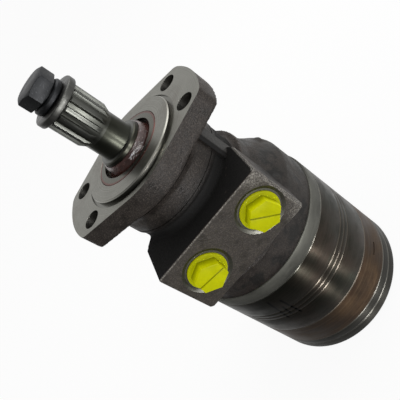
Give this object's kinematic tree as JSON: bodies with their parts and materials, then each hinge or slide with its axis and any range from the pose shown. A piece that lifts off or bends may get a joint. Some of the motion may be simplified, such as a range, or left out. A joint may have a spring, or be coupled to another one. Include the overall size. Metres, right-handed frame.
{
  "type": "orbital hydraulic motor",
  "caption": "Compact orbital hydraulic motor: bolted flange with round pilot, splined output shaft with end bolt and washers, plugged side ports and a round stacked body.",
  "frame": {"origin": "centre of the flange's mounting face, on the shaft axis at the base of the pilot", "axes": "+Z along the shaft towards its free end, -Y out of the two ports, X along the flange's long axis"},
  "size_m": [0.1336, 0.1326, 0.3057],
  "materials": {
    "cast_housing": "matte",
    "seal_carrier": "matte",
    "dust_seal": "matte",
    "shaft_seal": "matte",
    "seal_backup_ring": "satin",
    "thrust_race": "satin",
    "thrust_cage": "satin",
    "thrust_needles": "satin",
    "outer_bushing": "satin",
    "inner_bushing": "satin",
    "rear_thrust_washer": "satin",
    "output_shaft": "satin",
    "shaft_bolt": "satin",
    "lock_washer": "satin",
    "retaining_washer": "satin",
    "drive_link": "satin",
    "wear_plate": "satin",
    "stator": "satin",
    "rotor": "satin",
    "roller": "satin",
    "manifold": "satin",
    "commutator_ring": "satin",
    "commutator": "satin",
    "commutator_seal": "satin",
    "end_cover": "satin",
    "cover_bolts": "satin",
    "seal_ring": "matte",
    "port_plug": "gloss"
  },
  "bodies": {
    "housing": {"housing": "cast_housing", "seal_carrier": "seal_carrier", "dust_seal": "dust_seal", "shaft_seal": "shaft_seal", "seal_backup_ring": "seal_backup_ring", "thrust_race": "thrust_race", "outer_bushing": "outer_bushing", "inner_bushing": "inner_bushing", "rear_thrust_washer": "rear_thrust_washer", "wear_plate": "wear_plate", "stator": "stator", "manifold": "manifold", "commutator_ring": "commutator_ring", "end_cover": "end_cover", "cover_bolts": "cover_bolts", "seal_ring_1": "seal_ring", "seal_ring_2": "seal_ring", "seal_ring_3": "seal_ring", "seal_ring_4": "seal_ring", "seal_ring_5": "seal_ring"},
    "shaft": {"output_shaft": "output_shaft", "shaft_bolt": "shaft_bolt", "lock_washer": "lock_washer", "retaining_washer": "retaining_washer"},
    "thrust_bearing": {"thrust_cage": "thrust_cage", "thrust_needles": "thrust_needles"},
    "commutator": {"commutator": "commutator", "commutator_seal": "commutator_seal"},
    "rotor": {"rotor": "rotor"},
    "drive_link": {"drive_link": "drive_link"},
    "roller_1": {"roller_1": "roller"},
    "roller_2": {"roller_2": "roller"},
    "roller_3": {"roller_3": "roller"},
    "roller_4": {"roller_4": "roller"},
    "roller_5": {"roller_5": "roller"},
    "roller_6": {"roller_6": "roller"},
    "roller_7": {"roller_7": "roller"},
    "plug_right": {"port_plug_right": "port_plug"},
    "plug_left": {"port_plug_left": "port_plug"}
  },
  "joints": [
    {"name": "shaft_turn", "type": "hinge", "parent": "housing", "child": "shaft", "pos_m": [0, 0, 0], "axis": [0, 0, 1], "continuous": true},
    {"name": "thrust_roll", "type": "hinge", "parent": "housing", "child": "thrust_bearing", "pos_m": [0, 0, -0.0192], "axis": [0, 0, 1], "continuous": true},
    {"name": "commutator_orbit", "type": "hinge", "parent": "housing", "child": "commutator", "pos_m": [0, 0, -0.2137], "axis": [0, 0, 1], "continuous": true},
    {"name": "rotor_turn", "type": "hinge", "parent": "commutator", "child": "rotor", "pos_m": [0.0032, 0, -0.1545], "axis": [0, 0, 1], "continuous": true},
    {"name": "link_turn", "type": "hinge", "parent": "commutator", "child": "drive_link", "pos_m": [0, 0, -0.07], "axis": [-0.0378, 0, 0.9993], "continuous": true},
    {"name": "roller_1_roll", "type": "hinge", "parent": "housing", "child": "roller_1", "pos_m": [0, 0.042, -0.1545], "axis": [0, 0, 1], "continuous": true},
    {"name": "roller_2_roll", "type": "hinge", "parent": "housing", "child": "roller_2", "pos_m": [-0.03284, 0.02619, -0.1545], "axis": [0, 0, 1], "continuous": true},
    {"name": "roller_3_roll", "type": "hinge", "parent": "housing", "child": "roller_3", "pos_m": [-0.04095, -0.00935, -0.1545], "axis": [0, 0, 1], "continuous": true},
    {"name": "roller_4_roll", "type": "hinge", "parent": "housing", "child": "roller_4", "pos_m": [-0.01822, -0.03784, -0.1545], "axis": [0, 0, 1], "continuous": true},
    {"name": "roller_5_roll", "type": "hinge", "parent": "housing", "child": "roller_5", "pos_m": [0.01822, -0.03784, -0.1545], "axis": [0, 0, 1], "continuous": true},
    {"name": "roller_6_roll", "type": "hinge", "parent": "housing", "child": "roller_6", "pos_m": [0.04095, -0.00935, -0.1545], "axis": [0, 0, 1], "continuous": true},
    {"name": "roller_7_roll", "type": "hinge", "parent": "housing", "child": "roller_7", "pos_m": [0.03284, 0.02619, -0.1545], "axis": [0, 0, 1], "continuous": true},
    {"name": "plug_right_pull", "type": "slide", "parent": "housing", "child": "plug_right", "axis": [0, -1, 0], "range_m": [0, 0.014]},
    {"name": "plug_left_pull", "type": "slide", "parent": "housing", "child": "plug_left", "axis": [0, -1, 0], "range_m": [0, 0.014]}
  ],
  "couplings": [
    {"joint": "thrust_roll", "follows": "shaft_turn", "ratio": 0.5},
    {"joint": "commutator_orbit", "follows": "shaft_turn", "ratio": -6},
    {"joint": "rotor_turn", "follows": "shaft_turn", "ratio": 7},
    {"joint": "link_turn", "follows": "shaft_turn", "ratio": 7}
  ]
}
